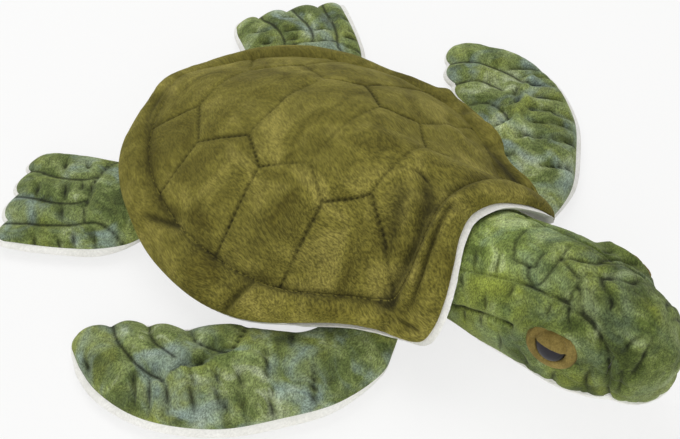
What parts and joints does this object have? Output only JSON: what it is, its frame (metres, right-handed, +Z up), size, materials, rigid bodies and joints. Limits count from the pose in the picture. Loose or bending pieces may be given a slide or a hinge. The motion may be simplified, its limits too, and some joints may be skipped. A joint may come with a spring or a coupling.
{
  "type": "plush turtle",
  "caption": "Stuffed sea turtle that lies flat: quilted olive shell with a padded skirt and white-lined collar, mottled green head on a soft neck, paddle flippers, plastic eyes with felt lids",
  "frame": {"origin": "on the floor, under the middle of the bounding box", "axes": "+X the way the turtle heads, +Y its left, +Z up"},
  "size_m": [0.4036, 0.3862, 0.0868],
  "materials": {
    "olive_minky": "short crimped pile",
    "mottled_minky": "short crimped pile, mottled in greens and grey-blue",
    "white_minky": "short smooth pile",
    "fibre_fill": "loose polyester fibre, matt",
    "olive_felt": "matt felt",
    "dark_plastic": "polished",
    "washer_plastic": "moulded"
  },
  "bodies": {
    "shell": {"shell_cover": "olive_minky", "shell_skirt": "olive_minky", "shell_lining": "white_minky", "belly_panel": "white_minky", "body_stuffing": "fibre_fill"},
    "neck": {"neck_root": "fibre_fill"},
    "head": {"head_crown": "mottled_minky", "neck_side_left": "mottled_minky", "neck_side_right": "mottled_minky", "cheek_left": "mottled_minky", "cheek_right": "mottled_minky", "chin_panel": "white_minky", "muzzle_panel": "mottled_minky", "head_stuffing": "fibre_fill", "eye_left": "dark_plastic", "eye_ring_left": "olive_felt", "eyelid_left": "olive_felt", "eye_washer_left": "washer_plastic", "eye_right": "dark_plastic", "eye_ring_right": "olive_felt", "eyelid_right": "olive_felt", "eye_washer_right": "washer_plastic"},
    "front_flipper_left": {"front_flipper_left_upper": "mottled_minky", "front_flipper_left_underside": "white_minky", "front_flipper_left_stuffing": "fibre_fill"},
    "front_flipper_right": {"front_flipper_right_upper": "mottled_minky", "front_flipper_right_underside": "white_minky", "front_flipper_right_stuffing": "fibre_fill"},
    "rear_flipper_left": {"rear_flipper_left_upper": "mottled_minky", "rear_flipper_left_underside": "white_minky", "rear_flipper_left_stuffing": "fibre_fill"},
    "rear_flipper_right": {"rear_flipper_right_upper": "mottled_minky", "rear_flipper_right_underside": "white_minky", "rear_flipper_right_stuffing": "fibre_fill"}
  },
  "joints": [
    {"name": "neck_turn", "type": "hinge", "parent": "shell", "child": "neck", "pos_m": [0.0402, 0, 0.03645], "axis": [0, 0, 1], "range_deg": [-5, 5], "stiffness_Nm_per_rad": 6},
    {"name": "head_nod", "type": "hinge", "parent": "neck", "child": "head", "pos_m": [0.0402, 0, 0.03645], "axis": [0, -1, 0], "range_deg": [-8, 2], "stiffness_Nm_per_rad": 12},
    {"name": "front_flap_left", "type": "hinge", "parent": "shell", "child": "front_flipper_left", "pos_m": [0.04374, 0.07158, 0.011], "axis": [0.9135, -0.4067, 0], "range_deg": [-25, 14], "stiffness_Nm_per_rad": 0.25},
    {"name": "front_flap_right", "type": "hinge", "parent": "shell", "child": "front_flipper_right", "pos_m": [0.04374, -0.07158, 0.011], "axis": [-0.9135, -0.4067, 0], "range_deg": [-25, 14], "stiffness_Nm_per_rad": 0.25},
    {"name": "rear_flap_left", "type": "hinge", "parent": "shell", "child": "rear_flipper_left", "pos_m": [-0.12768, 0.07325, 0.011], "axis": [0.8028, 0.5962, 0], "range_deg": [-25, 6], "stiffness_Nm_per_rad": 0.25},
    {"name": "rear_flap_right", "type": "hinge", "parent": "shell", "child": "rear_flipper_right", "pos_m": [-0.12768, -0.07325, 0.011], "axis": [-0.8028, 0.5962, 0], "range_deg": [-25, 6], "stiffness_Nm_per_rad": 0.25}
  ]
}
